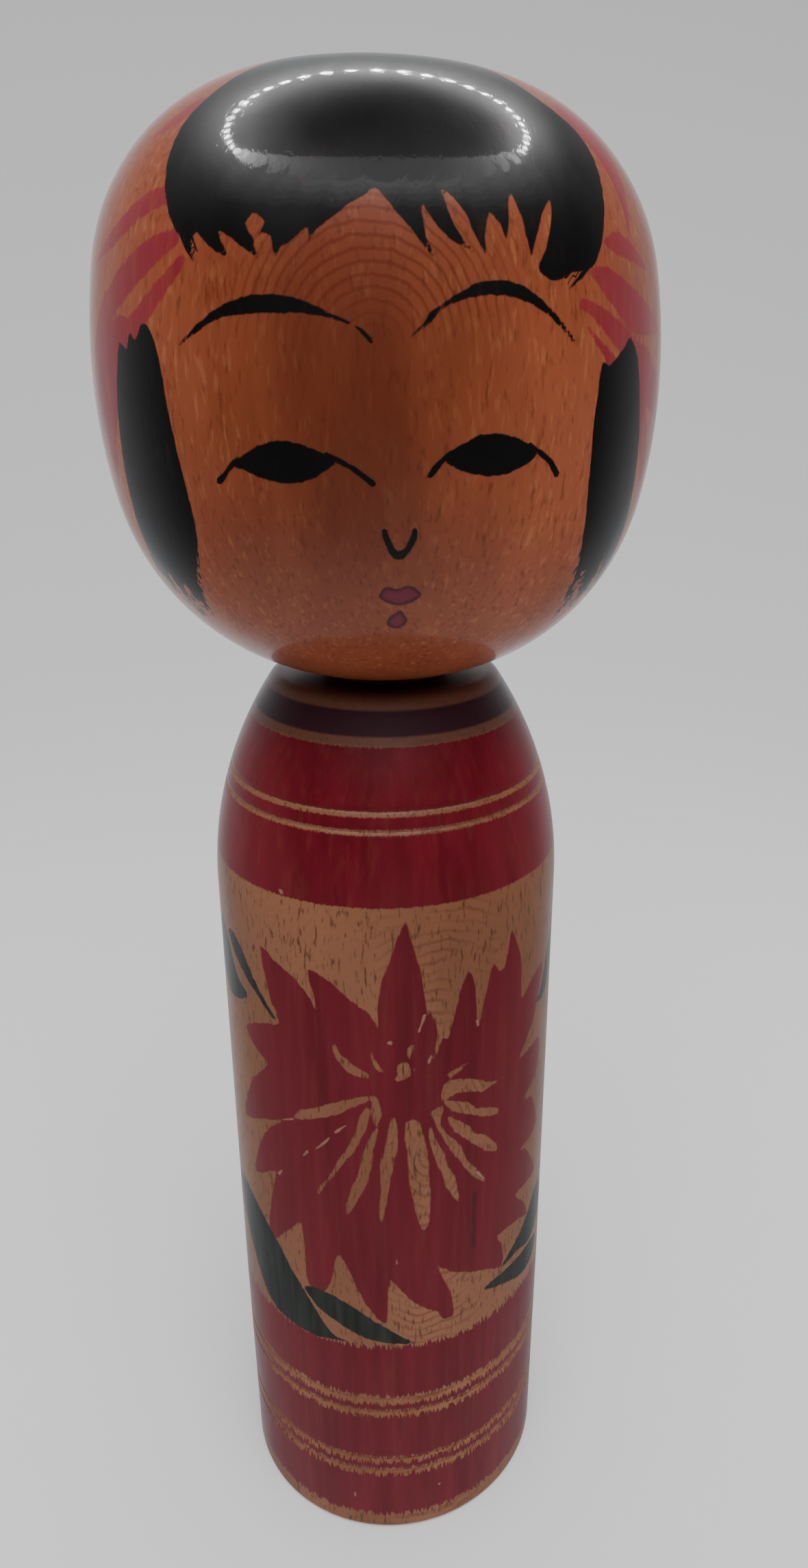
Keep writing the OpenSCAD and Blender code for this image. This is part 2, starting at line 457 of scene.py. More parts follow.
def unroll(piece, outline, hidden):
    """A UV map of a turned piece. hidden says which places of the outline are never seen."""
    lengths = np.hypot(*np.diff(outline, axis=0).T)
    lengths *= np.where(hidden((outline[1:] + outline[:-1]) / 2), HIDDEN_SHARE, 1.0)
    rise = np.concatenate([[0], np.cumsum(lengths)]) / lengths.sum()
    mesh = piece.data
    places = np.empty(len(mesh.vertices) * 3)
    mesh.vertices.foreach_get("co", places)
    x, y, z = places.reshape(-1, 3).T / MM
    out, around = np.hypot(x, y), np.degrees(np.arctan2(x, -y))
    spot = np.array([np.argmin(np.hypot(outline[:, 0] - a, outline[:, 1] - b)) for a, b in zip(out, z)])
    corner = np.empty(len(mesh.loops), int)
    mesh.loops.foreach_get("vertex_index", corner)
    layout = np.empty((len(corner), 2))
    for face in mesh.polygons:
        loops = slice(face.loop_start, face.loop_start + face.loop_total)
        used = corner[loops]
        off_axis, at_seam = out[used] > ON_AXIS, np.abs(around[used]) > SEAM
        own_side = np.sign(around[used][off_axis & ~at_seam].mean())
        turned = np.where(at_seam, 180 * own_side, around[used])
        turned = np.where(off_axis, turned, turned[off_axis].mean())
        layout[loops, 0] = np.interp(turned, [-180, -FRONT / 2, FRONT / 2, 180],
                                     [MARGIN, FRONT_STARTS, FRONT_ENDS, 1 - MARGIN])
        layout[loops, 1] = MARGIN + (1 - 2 * MARGIN) * rise[spot[used]]
    mesh.uv_layers.new(name="OFBake").data.foreach_set("uv", layout.ravel())
    print(piece.name, "unrolled, outline", round(lengths.sum(), 1), "mm long")


unroll(head, head_outline, lambda at: at[:, 1] < 121.2)
unroll(body, body_outline, lambda at: (at[:, 1] < 0.3) | ((at[:, 0] < 8.5) & (at[:, 1] > 1)))

# %% Say what the pieces stand for
for piece, name in ((head, "head"), (body, "body")):
    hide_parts(name)
    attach(piece, name)

# %% [markdown]
# ## Laying out the painting
# The painter works freehand, but every stroke has a place on the doll. A place on the head is how
# far round it is from the front and how far up from the head's widest line, both in degrees, and a
# place on the body is how far round it is and its height in millimetres. A few listed points give a
# stroke's outline, and a smooth curve joins them, which turns sharply where they lie close together.
# Each corner of the mesh then learns how deep inside the paint it lies, in millimetres.
# That number is a vertex attribute, so a material can draw a crisp edge from it, let it bleed along
# the grain, or let it run dry, which a picture wrapped on the doll couldn't do.


# %% Curves through a few points
def smooth(points, closed=True, between=3):
    """A curve through the points, with some new points between each two."""
    points = np.array(points, float)
    count = len(points)
    ends = range(count) if closed else range(count - 1)
    t = (np.arange(between) / between)[:, None]
    curve = []
    for i in ends:
        near = [i - 1, i, i + 1, i + 2]
        near = [n % count for n in near] if closed else [min(max(n, 0), count - 1) for n in near]
        a, b, c, d = points[near]
        curve.append(b + t * (c - a + t * (2 * a - 5 * b + 4 * c - d + t * (3 * (b - c) + d - a))) / 2)
    if not closed:
        curve.append(points[-1:])
    return np.concatenate(curve)


# %% Places on the head and the body
class Canvas:
    """The corners of one turned piece, where they lie, and how to place a point on it."""

    def __init__(self, piece, on_head):
        flat = np.empty(len(piece.data.vertices) * 3)
        piece.data.vertices.foreach_get("co", flat)
        self.piece = piece
        self.corners = flat.reshape(-1, 3) / MM
        self.on_head = on_head
        x, y, z = self.corners.T
        out = np.hypot(x, y)
        self.round = np.degrees(np.arctan2(x, -y))
        reach = np.hypot(out, z - WIDEST)
        self.up = np.degrees(np.arctan2(z - WIDEST, out)) if on_head else z
        # the tenon and the socket take no paint
        skin = (z > 121.3) if on_head else ((out > 12.3) | (z < 0.6))
        order = np.argsort(self.up[skin])
        self.known_up = self.up[skin][order]
        self.known_reach = (reach if on_head else out)[skin][order]
        self.skin = skin
        self.chart = self.flat(self.round, self.up)
        self.layers = {}

    def flat(self, around, up):
        """The place on a flat map that has no gap or pole in front."""
        if not self.on_head:
            return np.column_stack([around, up])
        turn_by = np.radians(around)
        return np.column_stack([(90 - up) * np.sin(turn_by), (up - 90) * np.cos(turn_by)])

    def solid(self, around, up):
        """The place in space of a point on the skin."""
        reach = np.interp(up, self.known_up, self.known_reach)
        tilt = np.radians(up) if self.on_head else np.zeros(len(up))
        out = reach * np.cos(tilt)
        height = WIDEST + reach * np.sin(tilt) if self.on_head else up
        turn_by = np.radians(around)
        return np.column_stack([out * np.sin(turn_by), -out * np.cos(turn_by), height])


# %% How deep a place lies inside an outline
FAR = -9.0


def nearest(corners, a, b):
    """Distance from each corner to the line from a to b, how far along it, and past its ends."""
    line = b - a
    along = (corners - a) @ line / max(line @ line, 1e-12)
    held = np.clip(along, 0, 1)
    return np.linalg.norm(corners - a - held[:, None] * line, axis=1), held, along


def depth_inside(canvas, outline):
    """Millimetres inside a closed outline, and below zero outside it."""
    around, up = np.array(outline, float).T
    edge = canvas.solid(around, up)
    chart = canvas.flat(around, up)
    low, high = edge.min(axis=0) - 4, edge.max(axis=0) + 4
    close = canvas.skin & (canvas.corners > low).all(axis=1) & (canvas.corners < high).all(axis=1)
    corners, places = canvas.corners[close], canvas.chart[close]
    best = np.full(len(corners), 99.0)
    inside = np.zeros(len(corners), bool)
    for i in range(len(edge)):
        best = np.minimum(best, nearest(corners, edge[i - 1], edge[i])[0])
        (ax, ay), (bx, by) = chart[i - 1], chart[i]
        if ay != by:
            crosses = (ay > places[:, 1]) != (by > places[:, 1])
            inside ^= crosses & (places[:, 0] < (bx - ax) * (places[:, 1] - ay) / (by - ay) + ax)
    depth = np.full(len(canvas.corners), FAR)
    depth[close] = np.where(inside, best, -best)
    return depth


def brush_depth(canvas, centre):
    """The same for a brush stroke: points of its middle line, each with its half width."""
    around, up, half = smooth(centre, closed=False).T
    line = canvas.solid(around, up)
    depth = np.full(len(canvas.corners), FAR)
    for i in range(len(line) - 1):
        gap, held, _ = nearest(canvas.corners, line[i], line[i + 1])
        depth = np.maximum(depth, half[i] + (half[i + 1] - half[i]) * held - gap)
    return np.where(canvas.skin, depth, FAR)


# %% Lay a stroke of paint
def lay(canvas, layer, *depths):
    """Adds shapes to a layer of paint."""
    before = canvas.layers.get(layer, np.full(len(canvas.corners), FAR))
    canvas.layers[layer] = np.maximum.reduce([before, *depths])


def leave_bare(canvas, layer, *depths):
    """Leaves shapes out of a layer of paint."""
    canvas.layers[layer] = np.minimum.reduce([canvas.layers[layer], *[-depth for depth in depths]])


def lay_thin(canvas, layer, *strokes):
    """Lays lines finer than the mesh. Each corner learns its place to one side of the nearest
    line and that line's half width, and both change evenly across the line, however thin it is."""
    count = len(canvas.corners)
    aside, half_there = np.full(count, 9.0), np.full(count, -5.0)
    outwards = canvas.corners - [0, 0, WIDEST] if canvas.on_head else canvas.corners * [1, 1, 0]
    for centre in strokes:
        around, up, half = smooth(centre, closed=False).T
        line = canvas.solid(around, up)
        for i in range(len(line) - 1):
            gap, held, along = nearest(canvas.corners, line[i], line[i + 1])
            length = np.linalg.norm(line[i + 1] - line[i])
            past = np.maximum(0, np.maximum(-along, along - 1)) * length
            here = half[i] + (half[i + 1] - half[i]) * held - np.where(past > 0, 2 * past, 0)
            level = np.cross(outwards, line[i + 1] - line[i])
            side = np.sign(np.einsum("ij,ij->i", level, canvas.corners - line[i]))
            better = canvas.skin & (here - gap > half_there - np.abs(aside)) & (gap < here + 0.9)
            aside[better], half_there[better] = (gap * side)[better], here[better]
    canvas.layers[layer], canvas.layers[layer + "_half"] = aside, half_there


def store(canvas):
    """Writes the layers to the mesh as attributes."""
    for name, depth in canvas.layers.items():
        made = canvas.piece.data.attributes.new(name, "FLOAT", "POINT")
        made.data.foreach_set("value", depth.astype(np.float32))
        print(canvas.piece.name, name, "covers", int((depth > 0).sum()), "corners")


# %% [markdown]
# ## The hair and the face
# A fringe is one block of black that starts near the crown and ends over the brow in a row of quick
# pointed flicks, and a lock hangs at each side with a dry lower end. The brows, the eyes and the
# lips are filled shapes, and the lids and the nose are single fine lines.

# %% Outlines of the fringe
fringe_left = [(-46.5, 47), (-48, 41), (-46.8, 34.5), (-44.2, 28.5), (-41.5, 24.6), (-39.3, 22.6),
               (-37.6, 20.4), (-35.8, 18.8), (-36.6, 21.2), (-35.5, 22.9), (-33, 21), (-31, 19.9),
               (-29, 19.3), (-29.8, 20.8), (-31, 22.8), (-29.6, 22.5), (-27, 21), (-25, 19.9),
               (-23.2, 18.9), (-24.2, 20.9), (-23.8, 22), (-22.4, 22.6), (-21.2, 22), (-20.9, 20.4),
               (-20.4, 18.4), (-19.8, 20.2), (-18, 21.2), (-16.5, 22.3), (-15, 23.4), (-14.8, 21),
               (-14.1, 22.3), (-12.5, 23.7), (-8, 26.7), (-5.5, 28), (-3.7, 29)]
fringe_right = [(-1, 26), (1, 24), (3, 21.8), (5.7, 18.8), (4.2, 22.4), (3.7, 26.9), (5.4, 24.6),
                (8, 22), (9.6, 21.3), (12.4, 20), (10.5, 21.9), (9, 24), (7.2, 29.1), (9.8, 27.2),
                (11.5, 25), (12.6, 22.4), (14.2, 20), (14.4, 23), (15.4, 26), (17.1, 24.4), (18.4, 21.5),
                (18.8, 24), (19.8, 29.2), (21.3, 26.2), (22.7, 20.1), (23.6, 21.9), (26, 26.3),
                (28.3, 28.7), (27.5, 25), (25.4, 20.6), (24, 18.2), (25.5, 17.1), (27.6, 16.5),
                (30.5, 17.8), (33.5, 18.2), (36.5, 18.9), (39.3, 22), (43, 28.5), (45.4, 34.5),
                (46.3, 39), (45, 43.7), (40, 49.5)]
fringe_back = [(37, 57), (36, 66), (46, 75), (60, 82), (0, 87), (-60, 82), (-46, 76), (-38, 67),
               (-43, 57)]
fringe_gap = [(-24.5, 25.6), (-26, 24.1), (-24.2, 21.2), (-22.4, 24)]

# %% Outlines of the side locks
left_lock = [(-48.5, 9.7), (-46, 8.5), (-44.3, 5), (-43, -2), (-42, -10), (-41, -20), (-41.5, -26),
             (-45, -33), (-47.5, -38), (-50, -42), (-51.5, -43), (-54.5, -37), (-54.8, -43),
             (-56.6, -45), (-58.5, -43), (-59, -35), (-60.4, -42), (-62.4, -40), (-65.5, -35),
             (-64, -30), (-62.5, -20), (-60.5, -10), (-58.5, 0), (-57.4, 3.5), (-56.3, 6.8),
             (-53.6, 5.6), (-52.4, 8.4), (-50.6, 6.9)]
right_lock = [(48, 8.5), (46, 7), (42.5, 4.6), (40.6, 3.6), (38.8, 4.4), (38, 0), (37.3, -8),
              (38.5, -18), (40.2, -26), (42.5, -34), (45.4, -41), (47, -45), (49.4, -40), (46.4, -34),
              (50.6, -44), (54.6, -43), (56.4, -37), (53.2, -31), (59.6, -41), (63, -37), (60.5, -28),
              (58.5, -20), (56, -11), (53.5, -3), (51.4, 4.6)]

# %% Outlines of the brows, the eyes and the lips
left_brow = [(-39.2, 6.2), (-35, 9.5), (-31, 11.8), (-27, 13.3), (-23, 13.9), (-18, 13.6), (-14, 12.4),
             (-11, 11), (-8.2, 9.8), (-11, 10.4), (-15, 11.1), (-20, 11.2), (-25, 11), (-30.5, 10.4),
             (-35, 8.3)]
right_brow = [(1.2, 7.8), (3.4, 10), (5, 11.8), (8, 13.6), (11, 15.3), (14, 16.2), (18, 16.3),
              (22, 15.2), (26, 12.7), (30, 9.4), (34, 5), (31, 7.5), (27, 10.6), (23, 12.8), (19, 13.9),
              (15, 14.2), (11, 13.6), (7, 12.3), (4.4, 9.8)]
left_eye = [(-30, -12.3), (-27, -10.3), (-24, -8.8), (-20, -8.1), (-16, -8.8), (-12, -10.6),
            (-10.8, -11.1), (-13, -12.8), (-16, -14.4), (-20, -14.95), (-24, -14.4), (-28, -13)]
right_eye = [(6.9, -10.8), (9.5, -8.7), (13, -7.1), (17, -6.9), (21, -8), (24.4, -10), (22, -12.2),
             (18, -13.6), (14, -13.6), (10, -12.7)]
upper_lip = [(-4.4, -34.5), (-3.5, -32.9), (-2.5, -32.7), (-1, -33.2), (1, -32.6), (2, -32.6),
             (3.8, -33.8), (4.1, -34.6), (2.5, -35.9), (0, -36.7), (-2.5, -36.2), (-4.2, -35.2)]
lower_lip = [(0.1, -37.7), (1.3, -39.5), (1.6, -40.5), (0.5, -42.1), (-1.5, -42.2), (-3, -41),
             (-2.2, -39.3), (-0.8, -38.3)]

# %% The fine lines, each with its half width in millimetres
hair_lines = [[(-39, 23, 0.25), (-37.4, 20.6, 0.18), (-35.6, 18.6, 0.05)],
              [(-37.5, 24, 0.2), (-35, 20, 0.05)], [(35, 21, 0.25), (29.5, 17, 0.12)],
              [(37, 20, 0.25), (33.5, 17.6, 0.2), (30.3, 15.4, 0.05)]]
brow_tails = [[(-14, 11.7, 0.2), (-10.5, 10.6, 0.16), (-8.2, 9.7, 0.1)],
              [(-7.4, 9.3, 0.1), (-6.6, 8.9, 0.16), (-4.8, 7.1, 0.24)]]
lids = [[(-33.5, -15.4, 0.33), (-32, -14.3, 0.28), (-30.5, -12.8, 0.24), (-28.5, -11.2, 0.22)],
        [(-13, -10, 0.2), (-11, -10.9, 0.25), (-8, -12.5, 0.25), (-4.8, -14.9, 0.28)],
        [(4.4, -13.7, 0.3), (6.5, -11.2, 0.26), (8.6, -9.4, 0.2)],
        [(22.5, -8.7, 0.2), (24.5, -9.9, 0.25), (27.5, -11.9, 0.28), (29.4, -14.2, 0.38)]]
nose = [[(-3.2, -22.3, 0.22), (-3, -23.5, 0.3), (-2, -25.8, 0.32), (-1.3, -26.5, 0.4), (-0.6, -26.9, 0.5),
         (0.2, -26.5, 0.4), (1, -25.8, 0.32), (2.1, -23.5, 0.3), (2.2, -22, 0.22)]]

# %% [markdown]
# ## The ribbons
# Red ribbons leave the fringe at both sides and fan out over the crown behind it, each one stroke
# of a wide brush that starts full and ends thin.

# %% Strokes of the ribbons, with their half widths in millimetres
left_ribbons = [[(-44, 28.8, 1.0), (-50, 27.6, 1.05), (-60, 23.2, 0.9), (-69, 19.7, 0.2)],
                [(-40.5, 22.3, 0.8), (-46, 20.4, 1.3), (-52, 17.4, 1.5), (-58, 14, 1.5), (-64, 9.5, 1.6),
                 (-69, 1, 1.6), (-72, -8, 1.3), (-73, -15, 0.4)],
                [(-38.3, 19, 0.5), (-42, 16, 0.8), (-47, 12, 1.0), (-52, 8.6, 1.2), (-58, 6, 2.4),
                 (-63, -2, 2.4), (-66, -10, 1.7), (-67, -17, 0.4)],
                [(-48, 46, 1.0), (-52.5, 43, 1.1), (-57, 40, 0.3)]]
right_ribbons = [[(51, 45, 2.8), (53, 38, 2.0), (52, 31, 1.0), (50.2, 24.5, 0.2)],
                 [(40.6, 23, 0.3), (45, 23, 1.1), (50, 22, 0.9), (57, 19.7, 0.2)],
                 [(35.6, 18.3, 0.3), (40, 17.3, 1.15), (45, 14.8, 1.7), (50, 12.6, 1.9), (55, 11.5, 1.6),
                  (65, 9.8, 0.3)],
                 [(33.6, 13.4, 0.5), (37, 12.2, 0.75), (42, 9.6, 1.1), (48, 6, 1.5), (55, 2, 2.4),
                  (63, -2, 1.8), (70, -7, 0.4)],
                 [(34.8, 9.7, 0.25), (40, 5.5, 0.6), (46, 1, 1.3), (53, -4, 1.5), (60, -12, 1.3),
                  (65, -22, 0.3)]]
fan = [[(side, 76, 0.9), (side, 66, 2.3), (side + bend, 52, 2.1), (side + 2 * bend, 40, 0.4)]
       for side, bend in ((-95, -4), (-122, -3), (-150, -2), (180, 0), (150, 2), (122, 3), (95, 4))]

# %% Paint the head
head_canvas = Canvas(head, on_head=True)
curves = [smooth(fringe_left + fringe_right + fringe_back, between=2)]
curves += [smooth(outline) for outline in (left_brow, right_brow, left_eye, right_eye)]
curves += [smooth(outline, between=2) for outline in (left_lock, right_lock)]
lay(head_canvas, "black", *[depth_inside(head_canvas, curve) for curve in curves])
leave_bare(head_canvas, "black", depth_inside(head_canvas, fringe_gap))
lay_thin(head_canvas, "line", *hair_lines, *brow_tails, *lids, *nose)
lay(head_canvas, "lips", *[depth_inside(head_canvas, smooth(lip)) for lip in (upper_lip, lower_lip)])
strokes = left_ribbons + right_ribbons + fan
lay(head_canvas, "red", *[brush_depth(head_canvas, stroke) for stroke in strokes])
store(head_canvas)

# %% [markdown]
# ## The flower
# One big chrysanthemum fills the front of the body. The painter lays its petals side by side in
# transparent red, and leaves thin slits of bare wood that spread from the heart of the flower.
# Leaves in blue green tuck in under it and beside it.

# %% Outline of the petals, clockwise from the top one
petals_right = [(-0.5, 96), (1.2, 97.6), (2.4, 96.2), (4.8, 93), (6.7, 90), (7.6, 87.5), (8.1, 85.4),
                (8.8, 86.2), (10.2, 84.6), (11.4, 82.6), (10.8, 81.2), (10, 79.1), (11.6, 80.2),
                (13, 81.7), (14.8, 81.6), (16, 82.8), (17.3, 84.7), (18.5, 87.2), (20.4, 88.8), (22, 90),
                (23.8, 88), (24.7, 85.4), (25.6, 82.2), (27, 84), (29.2, 87.3), (31, 90), (32.8, 89),
                (34.8, 88.3), (36.6, 89.2), (37.8, 91.6), (39, 93.3), (40.5, 92), (43, 89.8),
                (44.6, 87.6), (44.8, 83), (48, 83.4), (53, 84.7), (60.5, 85.2), (57.5, 81.3),
                (53.5, 77.9), (49, 75.9), (45, 74), (52, 74.3), (60, 74.2), (61, 71.4), (57, 68.6),
                (48, 67.1), (55, 66.1), (58.5, 63.6), (61.5, 60.4), (54, 59.6), (47.5, 59.4), (52, 58.4),
                (57, 55.7), (61.5, 52.4), (53, 52.5), (45.5, 52.4), (50, 50.5), (53, 49), (55.2, 46.6),
                (50, 47.5), (43, 48), (36.5, 48), (38.4, 46.3), (39.7, 44.2), (38.8, 42.2), (33, 43.2),
                (26, 44.3), (18, 45.7), (13, 47.1), (10.8, 48.5), (13.6, 45.4), (16.4, 42.7)]
petals_left = [(17.8, 39.8), (17.6, 38.2), (13.4, 38.4), (12, 39.7), (6, 41.3), (1, 43.3), (-4.5, 46.3),
               (-5.3, 43), (-5.7, 39.8), (-7, 38.9), (-12, 41.3), (-15.3, 43.9), (-18, 46.5),
               (-21.7, 49.8), (-23.8, 48), (-25, 45.5), (-28.5, 42.6), (-34.2, 42.8), (-35.2, 46),
               (-36, 52.9), (-40.5, 51.3), (-45, 49.4), (-49.6, 47.5), (-52.2, 49), (-51.2, 52.3),
               (-49, 56), (-46.4, 59.1), (-50, 58.4), (-59.2, 56.2), (-57.6, 59.4), (-53.5, 62.8),
               (-48, 65.8), (-39, 68.7), (-46, 67.2), (-53, 66), (-65, 63.9), (-61, 68.3), (-56, 71.7),
               (-47.5, 75.2), (-52, 76.1), (-59.2, 78.5), (-53, 80.1), (-46, 81.3), (-41, 82),
               (-44, 84.8), (-46, 87.5), (-47.6, 91.6), (-42, 90.5), (-36, 89.4), (-30, 87.6),
               (-26.1, 85), (-27.4, 87.2), (-28.9, 90.6), (-22, 89.6), (-16, 87.6), (-9.6, 85.8),
               (-7.3, 83.8), (-7.2, 86.6), (-5.8, 90), (-3, 93)]

# %% Outlines of the bare slits
slits = [[(-21.8, 81), (-20.8, 81.2), (-19, 79.9), (-16, 79), (-12, 77.9), (-10.5, 77.6), (-10.6, 77),
          (-14, 77.1), (-18, 78), (-21, 79.7)],
         [(-9.8, 81.2), (-7.8, 79.3), (-5.5, 77.8), (-8.3, 78.5), (-9.6, 79.8)],
         [(-1.7, 78.3), (1, 79.4), (2.6, 78.2), (2.6, 77.2), (0.3, 76.6), (-2.6, 76.7), (-0.8, 77.4)],
         [(1.8, 81), (3.9, 81.4), (2.6, 79.6), (1.8, 79.8)],
         [(-37.2, 69), (-34, 70.7), (-28, 71.7), (-22, 73), (-16, 73.9), (-10.5, 74.5), (-10.2, 74),
          (-16, 72.6), (-21, 71.4), (-27, 70.3), (-32, 69.5)],
         [(-9.5, 73.3), (-8.5, 74.7), (-6.8, 73), (-6.4, 71.8), (-7.6, 70.5), (-9.2, 70.6)],
         [(-10, 72.8), (-12.5, 72.2), (-14.3, 70.5), (-16.5, 67.5), (-20.5, 65), (-24.5, 62),
          (-27.6, 60.2), (-29.8, 58), (-25.6, 60.5), (-22, 62.6), (-18, 65), (-15.3, 66.5), (-13, 68.5),
          (-10.8, 70.6)],
         [(-7.2, 70.3), (-9, 69.6), (-11.4, 67.8), (-13, 65.5), (-14.5, 63), (-17, 60.5), (-18.8, 58),
          (-18.8, 56.3), (-16.6, 57.6), (-14, 59.6), (-11.6, 61.6), (-10.2, 63.8), (-9.5, 66.5),
          (-8, 68.8)],
         [(-3.2, 71.5), (-4.4, 69.7), (-5.6, 67), (-7.2, 64.4), (-7.2, 60.5), (-8.1, 58), (-7.2, 55.6),
          (-6, 57.5), (-4.6, 60.5), (-2.8, 64.5), (-1.6, 67), (-1.7, 70.5)],
         [(1, 70.5), (1.6, 65), (2.3, 61), (4, 57.5), (6.3, 53.8), (8.3, 54.5), (9.1, 57), (8.9, 62),
          (8.1, 66), (6.4, 69), (5, 70.6)],
         [(8.6, 69.5), (9.2, 67), (11, 64.3), (13, 62.3), (14.7, 60), (17, 58.2), (20, 56.8), (18.8, 59),
          (18, 61.2), (15.5, 62.6), (14.2, 65), (11.4, 66.9), (9.8, 68.9)],
         [(9, 71.6), (13.8, 72.2), (12.7, 70.2), (14, 68.2), (17, 67), (19.6, 65.5), (22, 63.2),
          (25, 61.6), (29.6, 58.4), (25, 60), (20.2, 62.8), (17, 64.8), (14, 67), (12, 68.6),
          (10.4, 70.4)],
         [(14.8, 70.5), (19, 69.3), (23, 67.9), (25, 66.6), (29.5, 65.6), (34.6, 63.2), (34.2, 62.2),
          (29, 63.4), (25, 65), (21, 66.5), (17, 68.3)],
         [(13.2, 73), (17, 72.4), (22.5, 71.6), (25.5, 70.3), (31, 69.5), (34.6, 68.7), (34.2, 67.9),
          (29, 68.5), (25, 69.4), (19.3, 70.5), (15.5, 71.4)],
         [(13, 74.4), (15, 75.6), (21, 75.2), (27, 74.2), (30.5, 73.3), (35, 72.8), (31, 72.7),
          (28, 72.3), (24, 73), (18, 73.5), (13.2, 73)],
         [(14.4, 76.6), (18, 77), (22.4, 77.5), (20, 76.8), (16, 76)]]

# %% Outlines of the leaves
leaves = [[(-20, 35.3), (-25, 35.7), (-30, 38), (-36.5, 41.6), (-42, 44.3), (-48, 47.2), (-55, 49.5),
           (-62, 51.2), (-70, 52), (-79, 51.3), (-79, 48), (-70, 43.6), (-62, 39), (-56, 36.2),
           (-50, 35), (-43, 34.7), (-33, 34.5), (-26, 34.9)],
          [(-36.4, 42.3), (-32, 42.9), (-26, 42.7), (-18, 41.4), (-10, 39.2), (-4, 37.5), (0, 36.2),
           (4, 35.2), (-2, 35.3), (-10, 35.8), (-16, 36.6), (-24, 38.3), (-30, 39.5), (-34, 41)],
          [(38.4, 42.1), (44, 43.5), (50, 44.9), (56, 46.7), (62, 48.6), (68, 48.8), (73, 46),
           (70, 42.8), (62, 41.3), (55, 41.3), (48, 42.2), (42, 41.9)],
          [(30.3, 40.2), (34, 40.8), (46, 40.9), (58, 40.6), (65.5, 39.8), (66.5, 38), (60, 36.6),
           (51, 37), (43, 38.3), (35, 39.5)],
          [(-42.2, 82.3), (-46, 83.9), (-52, 86.4), (-58, 89.3), (-64, 90.9), (-69, 90.2), (-63, 87.8),
           (-57, 86), (-50, 84.3), (-45, 82.6)],
          [(-56.6, 83.5), (-62, 84.7), (-66.5, 87), (-71, 90), (-77, 91), (-81, 86), (-76, 82.2),
           (-70, 81.1), (-62, 81.9)],
          [(56, 80.1), (60, 81.8), (66, 86.3), (72, 89), (78, 89.5), (76, 86), (70, 82.4), (63, 79.8)]]
scrapes = [[(-42, 68, 0.08), (-37, 68.9, 0.12)], [(-32, 64.8, 0.1), (-34, 63.8, 0.14)],
           [(-24, 67.7, 0.1), (-26, 66.7, 0.16), (-29, 65.5, 0.08)],
           [(-18, 70, 0.1), (-22, 68.6, 0.14)], [(-43.4, 60, 0.1), (-45.4, 59, 0.2)],
           [(5.4, 83, 0.1), (7.4, 85.4, 0.14)], [(9.4, 79.6, 0.18), (8.4, 78.6, 0.18)],
           [(25.2, 83, 0.2), (25.6, 82, 0.1)], [(36.3, 73, 0.2), (36.9, 72.9, 0.2)],
           [(3.9, 78, 0.25), (4.1, 77.8, 0.25)], [(30, 58.6, 0.1), (26, 60.6, 0.2)],
           [(-4.4, 81.9, 0.1), (-3.6, 81.9, 0.25), (-3, 82, 0.2)],
           [(-38.6, 99.8, 0.3), (-37.4, 99.4, 0.25)], [(-2.3, 49.6, 0.1), (-2.3, 48.8, 0.12)],
           [(13, 7.5, 0.2), (13.4, 7, 0.12)], [(-19.4, 6.6, 0.1), (-19.3, 5.6, 0.15)]]

# %% Paint the body
body_canvas = Canvas(body, on_head=False)
lay(body_canvas, "red", depth_inside(body_canvas, smooth(petals_right + petals_left, between=2)))
leave_bare(body_canvas, "red", *[depth_inside(body_canvas, smooth(slit, between=2)) for slit in slits])
lay(body_canvas, "green", *[depth_inside(body_canvas, smooth(leaf)) for leaf in leaves])
lay_thin(body_canvas, "line", *scrapes)
store(body_canvas)

# %% [markdown]
# ## Old wood
# The doll is turned from a pale, close-grained wood that has gone tan on the body and a deep red
# brown on the head, where more hands and more wax have been. Up close it is full of short dark
# flecks, and the growth rings show as fine brown contour lines where the tool cut across them.
# The rings are drawn round a line that runs through the piece from front to back, and a noise sways
# them.


# %% Rings and flecks
def growth_rings(tree, middle, stretch, apart, sway):
    """Thin rings round a middle (x, y, z) in mm, this far apart. stretch weighs the directions."""
    coords = tree.nodes.new("ShaderNodeTexCoord")
    place = tree.nodes.new("ShaderNodeMapping")
    place.inputs["Location"].default_value = [-m * s for m, s in zip(middle, stretch)]
    place.inputs["Scale"].default_value = [1000 * s for s in stretch]
    tree.links.new(coords.outputs["Object"], place.inputs["Vector"])
    length = tree.nodes.new("ShaderNodeVectorMath")
    length.operation = "LENGTH"
    tree.links.new(place.outputs[0], length.inputs[0])
    swayed = wobble(tree, length.outputs["Value"], sway, (7, 7, 10))
    swayed = wobble(tree, swayed, 0.10, (0.5, 0.5, 0.9), 7)
    wave = maths(tree, "SINE", maths(tree, "MULTIPLY", swayed, 2 * math.pi / apart))
    return spread(tree, wave, 0.25, 1.0), length.outputs["Value"]


def flecks(tree, width, tall, amount):
    """Short upright dark flecks."""
    return spread(tree, noise(tree, (width, width, tall)), 0.56, 0.70, 0, amount)


# %% [markdown]
# ## The painter's colours
# Each wood and most of the paints have two shades, a deep one and a thin or pale one. A noise moves
# between them, and on the lips it is the distance to their edge. Every other colour is one shade.

